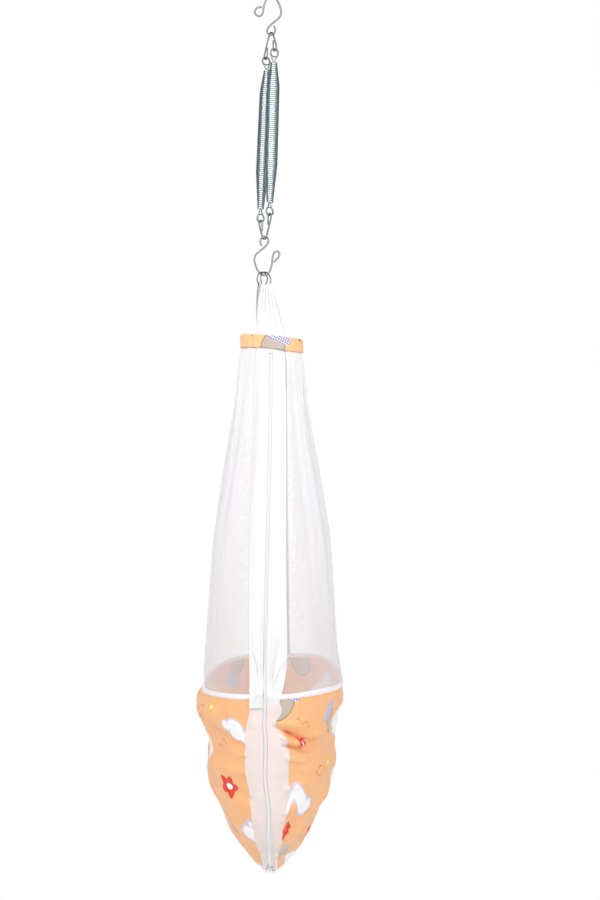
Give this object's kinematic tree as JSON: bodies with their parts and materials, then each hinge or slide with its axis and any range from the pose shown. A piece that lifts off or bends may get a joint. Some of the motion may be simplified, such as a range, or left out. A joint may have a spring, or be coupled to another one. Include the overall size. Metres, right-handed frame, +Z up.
{
  "type": "hanging baby cradle",
  "caption": "Cloth baby cradle with a zipped mosquito net, hung from an S hook on paired coil springs, with V links, rings, hoop band and deep sling bag.",
  "frame": {"origin": "under the top of the upper S hook's bow, where the support carries it", "axes": "+Z up along the hanging line, +Y from the zip's end to the far end of the bag, +X across the bag"},
  "size_m": [0.2998, 0.6611, 1.8697],
  "materials": {
    "galvanised_steel": "dull galvanised wire",
    "spring_steel": "zinc plated, smooth, bright along the coil",
    "zinc_alloy": "plain cast, satin",
    "white_cotton": "plain woven, matt",
    "mosquito_net": "sheer knitted net",
    "printed_cotton": "plain woven, matt, with an all-over nursery print",
    "placket_cloth": "thin lawn, half sheer",
    "zip_tape": "woven tape",
    "zip_chain": "nylon coil"
  },
  "bodies": {
    "upper_hook": {"upper_s_hook": "galvanised_steel"},
    "upper_link": {"upper_v_link": "galvanised_steel"},
    "right_spring": {"right_spring_coil": "spring_steel", "right_spring_top_eye": "spring_steel"},
    "right_lower_eye": {"right_spring_bottom_eye": "spring_steel"},
    "left_spring": {"left_spring_coil": "spring_steel", "left_spring_top_eye": "spring_steel"},
    "left_lower_eye": {"left_spring_bottom_eye": "spring_steel"},
    "lower_link": {"lower_v_link": "galvanised_steel"},
    "lower_hook": {"lower_s_hook": "galvanised_steel"},
    "cradle": {"near_ring": "galvanised_steel", "far_ring": "galvanised_steel", "near_hanger": "white_cotton", "far_hanger": "white_cotton", "hoop_band": "printed_cotton", "spreader_hoop": "galvanised_steel", "net_left": "mosquito_net", "net_right": "mosquito_net", "bag_left": "printed_cotton", "bag_right": "printed_cotton", "rim_binding": "white_cotton", "near_panel_left": "white_cotton", "near_panel_right": "white_cotton", "far_panel": "white_cotton", "zip_tape_left": "zip_tape", "zip_tape_right": "zip_tape", "zip_chain": "zip_chain", "zip_top_stop": "zinc_alloy", "zip_bottom_stop": "zinc_alloy", "placket_left": "placket_cloth", "placket_right": "placket_cloth", "keel_seam": "white_cotton"},
    "zip_slider": {"zip_slider": "zinc_alloy"},
    "zip_puller": {"zip_puller": "zinc_alloy"}
  },
  "joints": [
    {"name": "upper_link_swing", "type": "hinge", "parent": "upper_hook", "child": "upper_link", "pos_m": [-0.00108, 0, -0.0808], "axis": [1, 0, 0], "range_deg": [-20, 20]},
    {"name": "right_spring_swing", "type": "hinge", "parent": "upper_link", "child": "right_spring", "pos_m": [0.00737, -0.013, -0.1178], "axis": [0.5446, -0.8387, 0], "range_deg": [-15, 15]},
    {"name": "left_spring_swing", "type": "hinge", "parent": "upper_link", "child": "left_spring", "pos_m": [-0.01251, 0.01761, -0.1285], "axis": [0.5446, -0.8387, 0], "range_deg": [-15, 15]},
    {"name": "right_spring_stretch", "type": "slide", "parent": "right_spring", "child": "right_lower_eye", "axis": [0, 0, -1], "range_m": [0, 0.12], "stiffness_N_per_m": 4800, "springref_m": -0.0085, "deforming": ["right_spring_coil"]},
    {"name": "left_spring_stretch", "type": "slide", "parent": "left_spring", "child": "left_lower_eye", "axis": [0, 0, -1], "range_m": [0, 0.12], "deforming": ["left_spring_coil"]},
    {"name": "lower_link_level", "type": "hinge", "parent": "right_lower_eye", "child": "lower_link", "pos_m": [-0.00363, -0.01761, -0.4669], "axis": [0.5446, -0.8387, 0], "range_deg": [-15, 15]},
    {"name": "lower_hook_swing", "type": "hinge", "parent": "lower_link", "child": "lower_hook", "pos_m": [-0.01508, 0, -0.5146], "axis": [0.5446, -0.8387, 0], "range_deg": [-15, 15]},
    {"name": "cradle_swing", "type": "hinge", "parent": "lower_hook", "child": "cradle", "pos_m": [-0.01615, 0, -0.5974], "axis": [1, 0, 0], "range_deg": [-15, 15]},
    {"name": "zip_slider_run", "type": "slide", "parent": "cradle", "child": "zip_slider", "axis": [0, -0.8364, 0.5482], "range_m": [0, 0.08]},
    {"name": "zip_puller_flip", "type": "hinge", "parent": "zip_slider", "child": "zip_puller", "pos_m": [0, -0.16719, -1.83426], "axis": [1, 0, 0], "range_deg": [-75, 10]}
  ],
  "couplings": [
    {"joint": "left_spring_swing", "follows": "right_spring_swing", "ratio": 1},
    {"joint": "lower_link_level", "follows": "right_spring_swing", "ratio": -1},
    {"joint": "left_spring_stretch", "follows": "right_spring_stretch", "ratio": 1}
  ]
}
